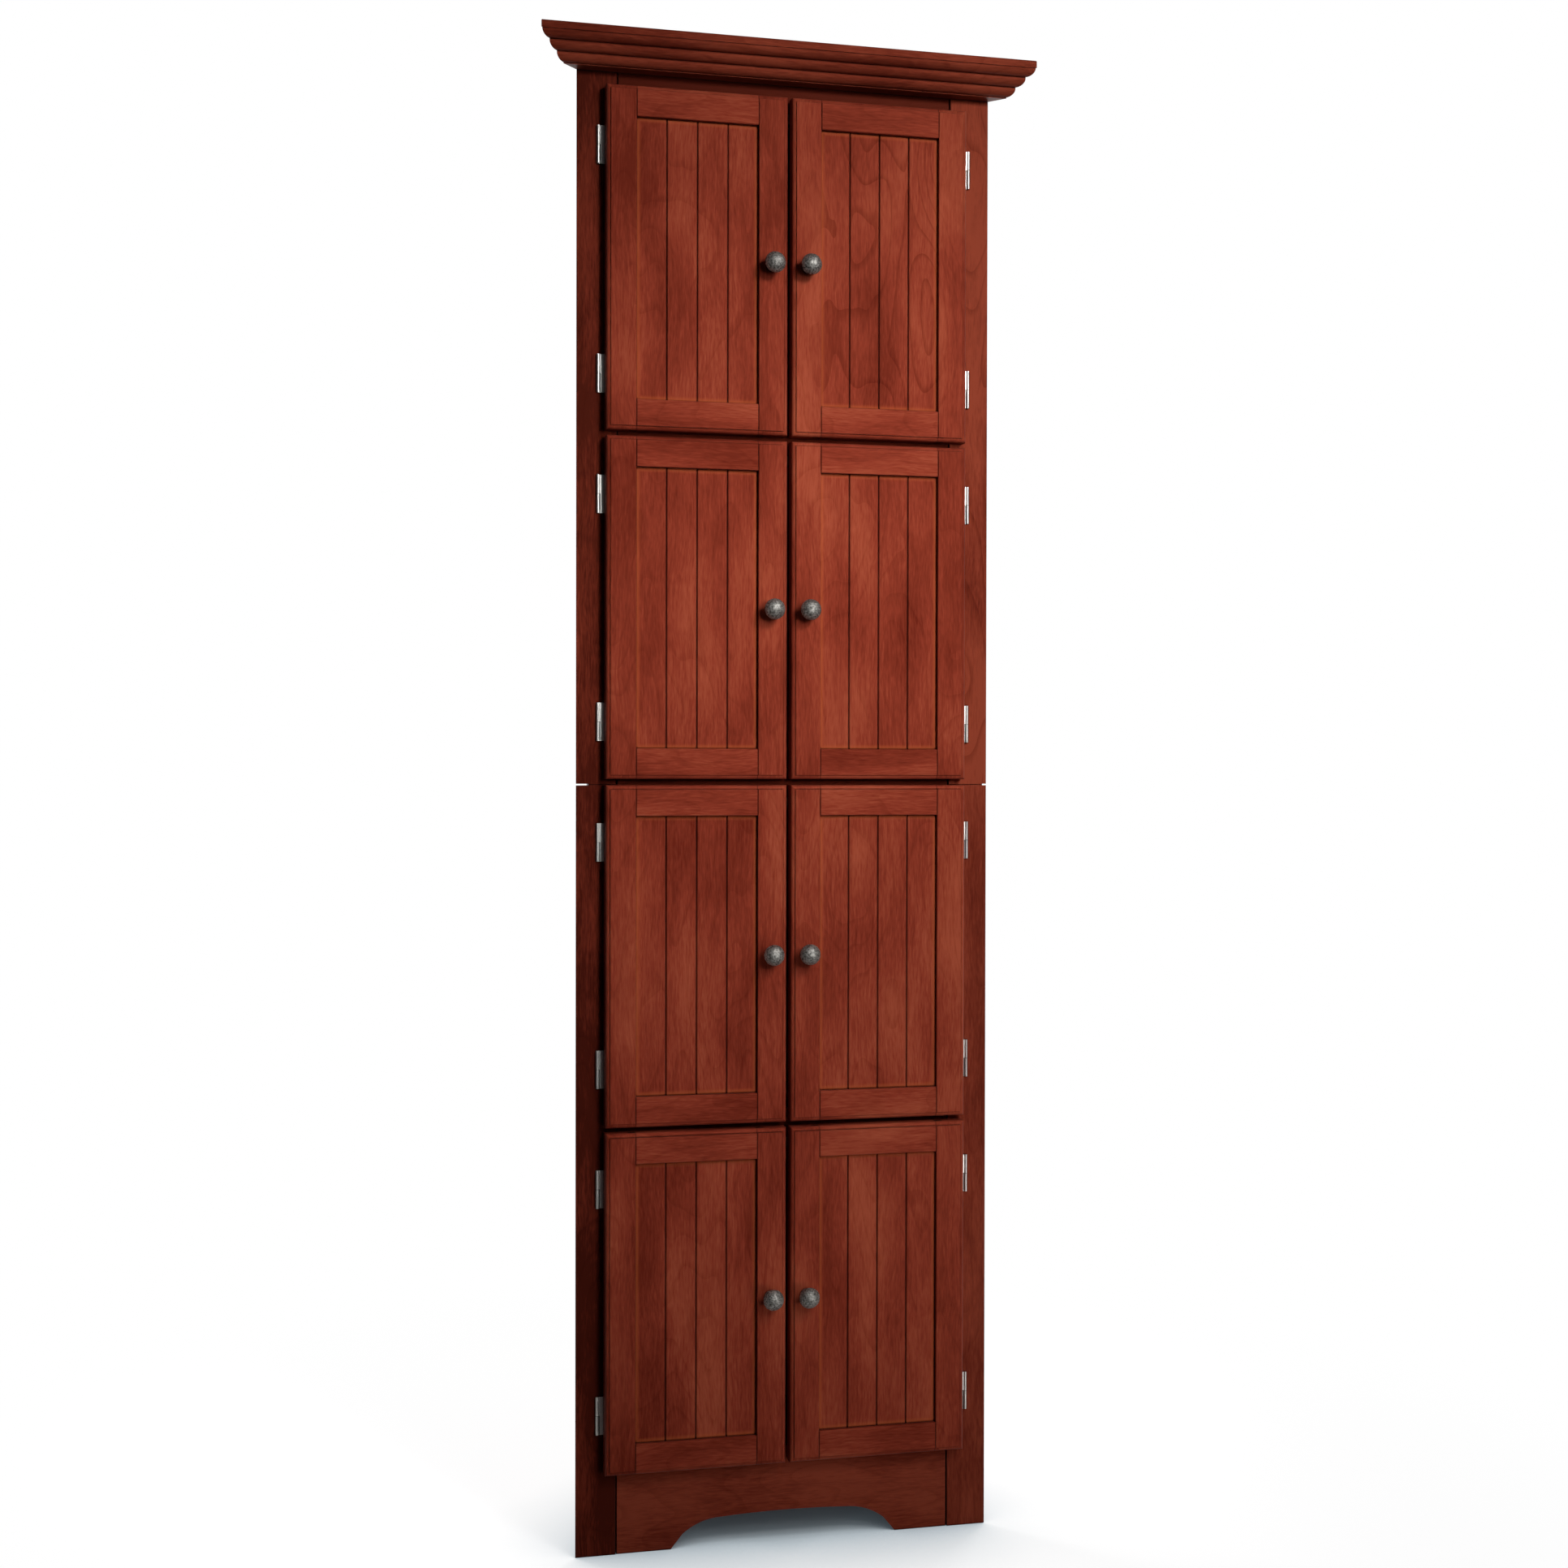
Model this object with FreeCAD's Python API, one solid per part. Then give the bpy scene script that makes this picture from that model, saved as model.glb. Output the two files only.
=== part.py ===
"""Tall corner cabinet: two stacked units, eight beadboard doors, an arched toe board and a stepped crown.

Sizes are in millimetres. X runs along the front, Y from the front to the room corner, Z up.
In plan each unit is a right-angled triangle: the long side is the front, and the two short sides lie on the
walls.
Every piece is drawn with the front of the face frame at Y zero, and is moved on export so that the origin
lies on the floor under the middle of the whole cabinet.
"""

import FreeCAD
import Part

import math
import os

# Doors
door_width = 222.6
door_height = 412.0
door_thickness = 18.0
door_stile_width = 36.3
door_rail_width = 37.0
door_edge_ledge = 1.2       # flat of the quirk inside the rounded edge
door_edge_round = 4.0
door_edge_step = 1.4        # depth of the quirk
door_ease = 0.6             # chamfer along the joints and round the panel
panel_recess = 6.0
panel_thickness = 6.0
groove_depth = 9.0
panel_play = 0.6            # room for the panel to swell at the bottom of its groove
plank_count = 4
plank_chamfer = 1.2
plank_gap = 0.3
tongue_thickness = 1.8
tongue_length = 2.6

# Layout of the front
pair_gap = 5.4              # between the two doors of a row
row_gap = 6.7               # between the two rows of a unit
stile_reveal = 33.7         # frame that shows beside a door
overlay = 15.3              # how far a door laps over the frame
toe_reveal = 101.2          # toe board that shows under the bottom doors
top_reveal = 0.6            # lower unit that stands above its upper doors
seam_reveal = 6.7           # rail that shows between the seam and the doors above it
frieze_reveal = 19.1        # rail that shows between the top doors and the crown

# Face frames
frame_thickness = 18.0
frame_ease = 0.7            # chamfer along the frame's joints
rail_setback = 1.2          # how far the rails lie behind the stiles
rail_joint_gap = 1.2        # open joint between a rail and a stile
tenon_length = 12.0
tenon_thickness = 6.0
tenon_shoulder = 3.5
seam_relief = 1.0           # how far a stile is cut back from the seam at the wall
left_seam_nick = 15.0       # how far that cut runs in from the left wall
right_seam_nick = 5.0       # and from the right wall

# Arched cut-out of the toe board
arch_height = 37.2
arch_foot_half = 142.0      # half of its width on the floor
arch_bevel_run = 14.5       # straight slope that rises from the floor
arch_bevel_rise = 17.5
arch_shoulder_half = 80.0   # where the tight curve meets the long flat arc
arch_shoulder_drop = 2.4
arch_shoulder_sag = 4.3

# Side panels and boards
side_thickness = 12.0
shelf_thickness = 15.0
top_thickness = 15.0
housing_depth = 4.0         # how far a board is let into a side panel

# Crown moulding
crown_height = 40.0
crown_projection = 47.5
crown_base_projection = 18.0
crown_foot_fillet = 1.2
crown_fascia = 9.2
crown_top_round = 1.6
crown_quirk = 1.0
crown_fillet_in = 0.8
crown_fillet_drop = 1.4
crown_bead_count = 3

# Knobs
knob_diameter = 25.4
knob_projection = 27.0
knob_rim_height = 17.5      # height of the widest part of the head
knob_rim_round = 2.0
knob_base_diameter = 15.0
knob_base_height = 2.0
knob_neck_diameter = 10.6
knob_neck_height = 7.5
knob_inset = 19.8           # from the free edge of the door
knob_bolt_diameter = 4.0
knob_bolt_engagement = 11.0

# Hinges
hinge_height = 46.0
hinge_inset = 69.0          # from the end of the door to the middle of the hinge
knuckle_diameter = 3.6
knuckle_gap = 0.4           # between the two knuckles of a hinge
knuckle_standoff = 0.35     # between the knuckles and the face frame
pin_diameter = 2.0
pin_offset = 7.6            # from the door's edge to the pin's axis
leaf_thickness = 1.0
leaf_play = 0.2             # between the two leaves of a hinge
leaf_lead = 4.5             # strip of the door leaf that shows past the door's edge
leaf_land = 16.0            # part of the door leaf inside the frame's opening
flange_depth = 15.0         # part of the frame leaf that wraps into the opening
hinge_screw_spread = 13.0   # from the middle of the hinge to each of its screws

# Screws
screw_diameter = 3.0
screw_length = 12.0
screw_tip = 2.5
screw_head_diameter = 5.8
screw_head_height = 1.7
screw_head_round = 0.6
screw_recess_width = 0.9
screw_recess_length = 3.2
screw_recess_depth = 0.9

# Magnetic catches and their strike plates
catch_width = 48.0
catch_depth = 14.0
catch_height = 12.0
catch_ease = 1.2
catch_gap = 0.4             # between a magnet and the strike plate of a closed door
catch_pocket_depth = 0.8
catch_screw_offset = 20.0
catch_screw_length = 20.0
strike_offset = 13.0        # from the middle of the front
strike_width = 14.0
strike_height = 9.0
strike_thickness = 1.2

# Dowels between the units
dowel_diameter = 8.0
dowel_length = 24.0
dowel_ease = 1.0
dowel_spread = 150.0
dowel_front_inset = 30.0    # behind the face frame
dowel_rear_inset = 90.0     # in front of the room corner

# Fits
joint_clearance = 0.1       # glued and housed joints, on each face
hole_clearance = 0.1        # round screws, bolts and dowels
running_clearance = 0.05    # round the hinge pins
overrun = 5.0               # how far a cutting shape runs past the piece

# Places that follow from the sizes
half_front = stile_reveal + door_width + pair_gap / 2
stile_width = stile_reveal + overlay
half_opening = half_front - stile_width
door_edge = half_front - stile_reveal
leaf_gap = 2 * leaf_thickness + leaf_play
door_front = -(leaf_gap + door_thickness)
door_back = -leaf_gap
panel_front = door_front + panel_recess
panel_back = panel_front + panel_thickness
lower_height = toe_reveal + 2 * door_height + row_gap + top_reveal
upper_door_foot = lower_height + seam_reveal
crown_foot = upper_door_foot + 2 * door_height + row_gap + frieze_reveal
overall_height = crown_foot + crown_height
case_height = overall_height - top_thickness
lower_door_feet = [toe_reveal, toe_reveal + door_height + row_gap]
upper_door_feet = [upper_door_foot, upper_door_foot + door_height + row_gap]
door_feet = upper_door_feet[::-1] + lower_door_feet[::-1]
pin_y = -(knuckle_standoff + knuckle_diameter / 2)
knuckle_bore = pin_diameter / 2 + running_clearance
hinge_heights = [hinge_inset, door_height - hinge_inset]
knob_x = door_width - knob_inset
knob_z = door_height / 2
strike_x = door_width + pair_gap / 2 - strike_offset
strike_z = door_height - overlay - catch_height / 2
catch_front = -(leaf_gap - strike_thickness - catch_gap)
front_reach = max(crown_projection, knob_projection - door_front)
front_y = (front_reach - half_front) / 2
diagonal_share = math.sqrt(0.5)

V = FreeCAD.Vector
RIGHT = V(1, 0, 0)
BACK = V(0, 1, 0)
UP = V(0, 0, 1)


def block(x0, x1, y0, y1, z0, z1):
    """Box between two corners."""
    return Part.makeBox(x1 - x0, y1 - y0, z1 - z0, V(x0, y0, z0))


def outline(path, place):
    """Flat face round a path of (u, v) points. A third item is a point on the arc that ends there."""
    edges = []
    here = path[0][:2]
    for step in path[1:] + path[:1]:
        there = step[:2]
        if len(step) == 3:
            edges.append(Part.Arc(place(*here), place(*step[2]), place(*there)).toShape())
        else:
            edges.append(Part.makeLine(place(*here), place(*there)))
        here = there
    return Part.Face(Part.Wire(edges))


def column(path, foot, head):
    """Upright prism on a path of (x, y) points."""
    return outline(path, lambda x, y: V(x, y, foot)).extrude(UP * (head - foot))


def beam(path, left, right):
    """Prism along X on a path of (y, z) points."""
    return outline(path, lambda y, z: V(left, y, z)).extrude(RIGHT * (right - left))


def moved(shape, x, y, z):
    """Copy of a shape, shifted."""
    copy = shape.copy()
    copy.translate(V(x, y, z))
    return copy


def flipped(shape, place=0):
    """Mirror image of a shape across the upright plane at one X."""
    return shape.mirror(V(place, 0, 0), RIGHT)


def aimed(shape, point, direction):
    """Copy of a shape drawn along Z, turned to a direction and set on a point."""
    copy = shape.copy()
    copy.Placement = FreeCAD.Placement(point, FreeCAD.Rotation(UP, direction))
    return copy


def upright_chamfer(x, y, size, side, foot, head):
    """Cutter for a chamfer along an upright front edge, on the side of it that the piece fills."""
    path = [(x + side * (size + overrun), y - overrun), (x - side * overrun, y - overrun)]
    return column(path + [(x - side * overrun, y + size + overrun)], foot, head)


def level_chamfer(z, y, size, side, left, right):
    """Cutter for a chamfer along a level front edge, on the side of it that the piece fills."""
    path = [(y - overrun, z + side * (size + overrun)), (y - overrun, z - side * overrun)]
    return beam(path + [(y + size + overrun, z - side * overrun)], left, right)


def screw_shank(length):
    """Pointed shank along Z, from the level zero down."""
    radius = screw_diameter / 2
    shank = Part.makeCylinder(radius, length - screw_tip, V(0, 0, screw_tip - length))
    return shank.fuse(Part.makeCone(0, radius, screw_tip, V(0, 0, -length)))


def pan_screw(length=screw_length):
    """Pan-headed screw along Z: the head stands on the level zero and the shank points down."""
    head = Part.makeCylinder(screw_head_diameter / 2, screw_head_height)
    rim = [e for e in head.Edges if e.BoundBox.ZMin > screw_head_height / 2]
    head = head.makeFillet(screw_head_round, rim)
    long_half = screw_recess_length / 2
    short_half = screw_recess_width / 2
    floor = screw_head_height - screw_recess_depth
    roof = screw_head_height + overrun
    across = block(-long_half, long_half, -short_half, short_half, floor, roof)
    along = block(-short_half, short_half, -long_half, long_half, floor, roof)
    return screw_shank(length).fuse(head).removeSplitter().cut([across, along])


def flush_screw():
    """Countersunk screw along Z, whose head ends at the level zero and is as thick as a strike plate."""
    radius = screw_diameter / 2
    head = Part.makeCone(radius, radius + strike_thickness, strike_thickness, V(0, 0, -strike_thickness))
    return screw_shank(screw_length).fuse(head).removeSplitter()


def pilot(point, direction, length=screw_length):
    """Hole for a screw, from a point on the surface into the piece."""
    return Part.makeCylinder(screw_diameter / 2 + hole_clearance, length + hole_clearance, point, direction)


def rail_spans():
    """Lowest and highest level of each rail, from the top of the cabinet down to the toe board."""
    spans = []
    units = ((upper_door_feet, lower_height, case_height), (lower_door_feet, 0, lower_height))
    for feet, foot, head in units:
        low, high = feet
        spans.append((high + door_height - overlay, head))
        spans.append((low + door_height - overlay, high + overlay))
        spans.append((foot, low + overlay))
    return spans


def tenons(span, clearance):
    """Tongue that runs through a rail into both stiles, or with a clearance, the mortises for it."""
    reach = half_opening + tenon_length + clearance
    middle = (rail_setback + frame_thickness) / 2
    half = tenon_thickness / 2 + clearance
    low = span[0] + tenon_shoulder - clearance
    high = span[1] - tenon_shoulder + clearance
    return block(-reach, reach, middle - half, middle + half, low, high)


def rail(span):
    """Rail of a face frame, with a tenon and an eased front edge at each end."""
    end = half_opening - rail_joint_gap
    body = block(-end, end, rail_setback, frame_thickness, *span)
    eased = [upright_chamfer(side * -end, rail_setback, frame_ease, side, *span) for side in (1, -1)]
    holes = [pilot(V(x, y, z), UP, catch_screw_length) for x, y, z in catch_screw_places()]
    return body.cut(eased).fuse(tenons(span, 0)).removeSplitter().cut(holes)


def arch():
    """Cutter for the arched opening of the toe board, with a slope at each foot."""
    bevel_half = arch_foot_half - arch_bevel_run
    shoulder_height = arch_height - arch_shoulder_drop
    run = bevel_half - arch_shoulder_half
    rise = shoulder_height - arch_bevel_rise
    chord = math.hypot(run, rise)
    via_x = (bevel_half + arch_shoulder_half) / 2 + arch_shoulder_sag * rise / chord
    via_z = (arch_bevel_rise + shoulder_height) / 2 + arch_shoulder_sag * run / chord
    path = [
        (-arch_foot_half - arch_bevel_run * overrun / arch_bevel_rise, -overrun),
        (arch_foot_half + arch_bevel_run * overrun / arch_bevel_rise, -overrun),
        (bevel_half, arch_bevel_rise),
        (arch_shoulder_half, shoulder_height, (via_x, via_z)),
        (-arch_shoulder_half, shoulder_height, (0, arch_height)),
        (-bevel_half, arch_bevel_rise, (-via_x, via_z)),
    ]
    return outline(path, lambda x, z: V(x, -overrun, z)).extrude(BACK * (frame_thickness + 2 * overrun))


def frame_stile(foot, head, spans, feet):
    """Left stile of a unit: mortised for the rails, drilled for the hinges, bevelled to the wall."""
    inner = -half_opening
    path = [
        (-half_front, 0),
        (inner - frame_ease, 0),
        (inner, frame_ease),
        (inner, frame_thickness),
        (frame_thickness - half_front, frame_thickness),
    ]
    holes = [tenons(span, joint_clearance) for span in spans]
    for middle in [door + level for door in feet for level in hinge_heights]:
        for z in (middle - hinge_screw_spread, middle + hinge_screw_spread):
            holes.append(pilot(V(inner + overrun, flange_depth / 2, z), -RIGHT, screw_length + overrun))
    return column(path, foot, head).cut(holes)


def seam_joint(nick):
    """Cutters for the seam of the left stiles: a fine groove, and a nick of a given length at the wall."""
    wall = -half_front - overrun
    groove = [
        (-frame_ease, lower_height - 2 * frame_ease),
        (frame_ease, lower_height),
        (-frame_ease, lower_height + 2 * frame_ease),
    ]
    across = (-overrun, frame_thickness + overrun)
    upright = (lower_height - seam_relief, lower_height + seam_relief)
    slot = block(wall, nick - half_front, *across, *upright)
    return [beam(groove, wall, overrun - half_opening), slot]


def shelf_outline(into_side):
    """Plan of a board between the side panels, let into them by a given depth."""
    inset = (side_thickness - into_side) / diagonal_share
    half = half_front - frame_thickness - inset
    return [(-half, frame_thickness), (half, frame_thickness), (0, half_front - inset)]


def dowels(clearance):
    """Three dowels across the seam between the units, or with a clearance, the holes for them."""
    front = frame_thickness + dowel_front_inset
    spots = [(-dowel_spread, front), (dowel_spread, front), (0, half_front - dowel_rear_inset)]
    radius = dowel_diameter / 2 + clearance
    half = dowel_length / 2 + clearance
    pegs = [Part.makeCylinder(radius, 2 * half, V(x, y, lower_height - half)) for x, y in spots]
    if clearance:
        return pegs
    return [peg.makeChamfer(dowel_ease, [e for e in peg.Edges if e.isClosed()]) for peg in pegs]


def shelf_levels(spans, seam_levels):
    """Undersides of a unit's boards: level with the tops of its rails, and at the seam."""
    return [span[1] - shelf_thickness for span in spans] + seam_levels


def shelf_boards(levels):
    """Triangular boards with the front edge against the face frame."""
    holes = dowels(hole_clearance)
    return [column(shelf_outline(housing_depth), z, z + shelf_thickness).cut(holes) for z in levels]


def side_panels(foot, head, levels):
    """Side panels of a unit, housed for the boards. The left one laps the end of the right one."""
    thick = side_thickness * diagonal_share
    wall = half_front - frame_thickness
    left = [(-wall, frame_thickness), (0, half_front), (thick, half_front - thick)]
    left.append((2 * thick - wall, frame_thickness))
    right = [(wall, frame_thickness), (thick, half_front - thick), (0, half_front - 2 * thick)]
    right.append((wall - 2 * thick, frame_thickness))
    plan = shelf_outline(housing_depth + joint_clearance)
    fit = joint_clearance
    housings = [column(plan, z - fit, z + shelf_thickness + fit) for z in levels]
    return [column(path, foot, head).cut(housings) for path in (left, right)]


def crown_moulding():
    """Stepped moulding: a band over a row of round steps, its ends cut along the walls."""
    drop = crown_height - crown_fascia - crown_foot_fillet - (crown_bead_count - 1) * crown_fillet_drop
    run = crown_projection - crown_quirk - crown_base_projection - (crown_bead_count - 1) * crown_fillet_in
    drop /= crown_bead_count
    run /= crown_bead_count
    bow = 1 - diagonal_share
    top = overall_height
    reach = crown_projection
    path = [
        (0, crown_foot),
        (0, top),
        (crown_top_round - reach, top),
        (-reach, top - crown_top_round, (crown_top_round * bow - reach, top - crown_top_round * bow)),
        (-reach, top - crown_fascia),
    ]
    y = crown_quirk - reach
    z = top - crown_fascia
    for number in range(crown_bead_count):
        if number > 0:
            y += crown_fillet_in
            path.append((y, z))
            z -= crown_fillet_drop
        path.append((y, z))
        path.append((y + run, z - drop, (y + run * bow, z - drop * diagonal_share)))
        y += run
        z -= drop
    path.append((y, crown_foot))
    strip = beam(path, -half_front - reach, half_front + reach)
    far = half_front + reach
    plan = [(-half_front, 0), (half_front, 0), (far, -reach), (-far, -reach)]
    return strip.common(column(plan, crown_foot, top))


def door_section(span):
    """Section across a door: a flat field, then a quirk and a rounded edge on both sides."""
    lip = door_edge_ledge + door_edge_round
    side = door_edge_step + door_edge_round
    bow = door_edge_round * (1 - diagonal_share)
    return [
        (lip, 0),
        (span - lip, 0),
        (span - lip, door_edge_step),
        (span - door_edge_round, door_edge_step),
        (span, side, (span - bow, door_edge_step + bow)),
        (span, door_thickness),
        (0, door_thickness),
        (0, side),
        (door_edge_round, door_edge_step, (bow, door_edge_step + bow)),
        (lip, door_edge_step),
    ]


def door_blank():
    """Whole outline of a door, with the moulded edge mitred at its corners."""
    upright = outline(door_section(door_width), lambda x, d: V(x, door_front + d, 0))
    level = outline(door_section(door_height), lambda z, d: V(0, door_front + d, z))
    return upright.extrude(UP * door_height).common(level.extrude(RIGHT * door_width))


def door_stiles(blank):
    """Hinge stile and knob stile of a door, grooved for the panel and drilled for the fittings."""
    inner = door_stile_width
    stile = blank.common(block(0, inner, door_front, door_back, 0, door_height))
    groove = block(
        inner - groove_depth,
        inner + overrun,
        panel_front - joint_clearance,
        panel_back + joint_clearance,
        -overrun,
        door_height + overrun,
    )
    ease = upright_chamfer(inner, door_front, door_ease, -1, -overrun, door_height + overrun)
    stile = stile.cut([groove, ease])
    bolt_hole = Part.makeCylinder(
        knob_bolt_diameter / 2 + hole_clearance, door_thickness, V(knob_x, door_front, knob_z), BACK
    )
    strike_hole = pilot(V(strike_x, door_back, strike_z), -BACK)
    hinge_side = stile.cut([pilot(V(x, door_back, z), -BACK) for x, z in hinge_screw_places()])
    knob_side = flipped(stile, door_width / 2).cut([bolt_hole, strike_hole])
    return [hinge_side, knob_side]


def door_rails(blank):
    """Bottom and top rail of a door, with stub tenons in the grooves of the stiles."""
    left = door_stile_width
    right = door_width - door_stile_width
    head = door_rail_width
    rail_body = blank.common(block(left, right, door_front, door_back, 0, head))
    groove = block(
        left - overrun,
        right + overrun,
        panel_front - joint_clearance,
        panel_back + joint_clearance,
        head - groove_depth,
        head + overrun,
    )
    eased = [
        upright_chamfer(left, door_front, door_ease, 1, -overrun, head + overrun),
        upright_chamfer(right, door_front, door_ease, -1, -overrun, head + overrun),
        level_chamfer(head, door_front, door_ease, -1, left - overrun, right + overrun),
    ]
    reach = groove_depth - joint_clearance
    tongue = block(left - reach, right + reach, panel_front, panel_back, 0, head - groove_depth)
    bottom = rail_body.cut([groove] + eased).fuse(tongue).removeSplitter()
    return [bottom, bottom.mirror(V(0, 0, door_height / 2), UP)]


def panel_planks():
    """Upright tongued planks with a V along each joint, held in the grooves of the door's frame."""
    reach = groove_depth - panel_play
    left = door_stile_width - reach
    right = door_width - door_stile_width + reach
    foot = door_rail_width - reach
    pitch = (door_width - 2 * door_stile_width) / plank_count
    tongue_middle = (panel_front + plank_chamfer + panel_back) / 2
    half = tongue_thickness / 2
    planks = []
    for number in range(plank_count):
        start = left
        path = [(left, panel_back), (left, panel_front)]
        if number > 0:
            start = door_stile_width + number * pitch + plank_gap / 2
            slot = half + joint_clearance
            depth = tongue_length + joint_clearance
            path = [
                (start, panel_back),
                (start, tongue_middle + slot),
                (start + depth, tongue_middle + slot),
                (start + depth, tongue_middle - slot),
                (start, tongue_middle - slot),
                (start, panel_front + plank_chamfer),
                (start + plank_chamfer, panel_front),
            ]
        if number < plank_count - 1:
            end = door_stile_width + (number + 1) * pitch - plank_gap / 2
            path += [
                (end - plank_chamfer, panel_front),
                (end, panel_front + plank_chamfer),
                (end, tongue_middle - half),
                (end + tongue_length, tongue_middle - half),
                (end + tongue_length, tongue_middle + half),
                (end, tongue_middle + half),
                (end, panel_back),
            ]
        else:
            path += [(right, panel_front), (right, panel_back)]
        planks.append(column(path, foot, door_height - foot))
    return planks


def knob():
    """Domed knob on a waisted neck, drilled from behind for its bolt."""
    rim = knob_diameter / 2
    base = knob_base_diameter / 2
    neck = knob_neck_diameter / 2
    dome = knob_projection - knob_rim_height
    dome_radius = (rim ** 2 + dome ** 2) / (2 * dome)
    half_way = math.atan(dome / rim)
    under = knob_rim_height - knob_rim_round
    round_in = knob_rim_round * (1 - diagonal_share)
    round_via = (rim - round_in, knob_rim_height - knob_rim_round * diagonal_share)
    dome_via = (dome_radius * math.sin(half_way), knob_projection - dome_radius * (1 - math.cos(half_way)))
    path = [
        (0, 0),
        (base, 0),
        (base, knob_base_height),
        (rim - knob_rim_round, under, (neck, knob_neck_height)),
        (rim, knob_rim_height, round_via),
        (0, knob_projection, dome_via),
    ]
    half = outline(path, lambda r, h: V(knob_x + r, door_front - h, knob_z))
    body = half.revolve(V(knob_x, door_front, knob_z), BACK, 360)
    hole = Part.makeCylinder(
        knob_bolt_diameter / 2 + hole_clearance,
        knob_bolt_engagement + hole_clearance,
        V(knob_x, door_front, knob_z),
        -BACK,
    )
    return body.cut(hole)


def knob_bolt():
    """Machine screw from the back of the door into the knob."""
    start = V(knob_x, door_back, knob_z)
    shank = Part.makeCylinder(knob_bolt_diameter / 2, door_thickness + knob_bolt_engagement, start, -BACK)
    head = Part.makeCylinder(knob_bolt_diameter, knob_bolt_diameter / 2, start, BACK)
    slot = block(
        knob_x - knob_bolt_diameter - overrun,
        knob_x + knob_bolt_diameter + overrun,
        door_back + knob_bolt_diameter / 4,
        door_back + knob_bolt_diameter / 2 + overrun,
        knob_z - screw_recess_width / 2,
        knob_z + screw_recess_width / 2,
    )
    return shank.fuse(head).removeSplitter().cut(slot)


def hinge_screw_places():
    """(x, z) of the screws through the door leaves, from the lower hinge edge of the door."""
    x = overlay + leaf_land / 2
    offsets = (-hinge_screw_spread, hinge_screw_spread)
    return [(x, middle + up) for middle in hinge_heights for up in offsets]


def knuckle(foot, head, web_front, web_edge):
    """Half of a hinge's barrel with the web that joins it to its leaf."""
    tube = Part.makeCylinder(knuckle_diameter / 2, head - foot, V(-pin_offset, pin_y, foot))
    web = block(-pin_offset, web_edge, web_front, web_front + leaf_thickness, foot, head)
    return tube.fuse(web)


def bore(foot, head):
    """Hole for the hinge pin through one knuckle."""
    return Part.makeCylinder(knuckle_bore, head - foot, V(-pin_offset, pin_y, foot))


def door_leaf(middle):
    """Leaf on the back of a door, with the upper knuckle beside the door's edge."""
    foot = middle - hinge_height / 2
    head = middle + hinge_height / 2
    split = middle + knuckle_gap / 2
    plate = block(-leaf_lead, overlay + leaf_land, door_back, door_back + leaf_thickness, foot, head)
    body = plate.fuse(knuckle(split, head, door_back, 0)).removeSplitter()
    spots = [(x, z) for x, z in hinge_screw_places() if foot < z < head]
    return body.cut([bore(split, head)] + [pilot(V(x, 0, z), -BACK) for x, z in spots])


def frame_leaf(middle):
    """Leaf that lies on the frame behind the door and wraps into the opening, with the lower knuckle."""
    foot = middle - hinge_height / 2
    head = middle + hinge_height / 2
    split = middle - knuckle_gap / 2
    wrap = overlay + leaf_thickness
    plate = block(0, wrap, -leaf_thickness, 0, foot, head)
    flange = block(overlay, wrap, -leaf_thickness, flange_depth, foot, head)
    body = plate.fuse([flange, knuckle(foot, split, -leaf_thickness, overlay)]).removeSplitter()
    spots = (middle - hinge_screw_spread, middle + hinge_screw_spread)
    holes = [pilot(V(wrap + overrun, flange_depth / 2, z), -RIGHT, 2 * overrun) for z in spots]
    return body.cut([bore(foot, split)] + holes)


def hinge_pin(middle):
    """Pin through both knuckles of a hinge."""
    start = V(-pin_offset, pin_y, middle - hinge_height / 2)
    return Part.makeCylinder(pin_diameter / 2, hinge_height, start)


def strike_plate():
    """Steel plate on the back of a door, countersunk for its screw."""
    plate = block(
        strike_x - strike_width / 2,
        strike_x + strike_width / 2,
        door_back,
        door_back + strike_thickness,
        strike_z - strike_height / 2,
        strike_z + strike_height / 2,
    )
    radius = screw_diameter / 2 + hole_clearance
    place = V(strike_x, door_back, strike_z)
    seat = Part.makeCone(radius, radius + strike_thickness, strike_thickness, place, BACK)
    return plate.cut(seat)


def door_hardware():
    """Fittings that swing with a door: hinge leaves, their screws, the knob's bolt and the strike plate."""
    screw = pan_screw()
    leaf_back = door_back + leaf_thickness
    pieces = [door_leaf(middle) for middle in hinge_heights]
    pieces += [aimed(screw, V(x, leaf_back, z), BACK) for x, z in hinge_screw_places()]
    pieces += [knob_bolt(), strike_plate()]
    pieces.append(aimed(flush_screw(), V(strike_x, door_back + strike_thickness, strike_z), BACK))
    return pieces


def catch_screw_places():
    """Seats of the two screws under each catch."""
    y = catch_front + catch_depth / 2
    lows = [foot + door_height - overlay - catch_height for foot in door_feet]
    return [(x, y, low) for low in lows for x in (-catch_screw_offset, catch_screw_offset)]


def catch(foot_of_rail):
    """Double magnetic catch under a rail, with a shallow pocket in front of each magnet."""
    low = foot_of_rail - catch_height
    half = catch_width / 2
    body = block(-half, half, catch_front, catch_front + catch_depth, low, foot_of_rail)
    uprights = [e for e in body.Edges if e.BoundBox.ZMax - e.BoundBox.ZMin > catch_ease]
    body = body.makeChamfer(catch_ease, uprights)
    pocket_half = strike_width / 2
    middle = foot_of_rail - catch_height / 2
    pockets = [
        block(
            side * strike_offset - pocket_half,
            side * strike_offset + pocket_half,
            catch_front - overrun,
            catch_front + catch_pocket_depth,
            middle - strike_height / 2,
            middle + strike_height / 2,
        )
        for side in (-1, 1)
    ]
    holes = [pilot(V(x, y, low), UP, catch_height) for x, y, _ in catch_screw_places()[:2]]
    return body.cut(pockets + holes)


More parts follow.
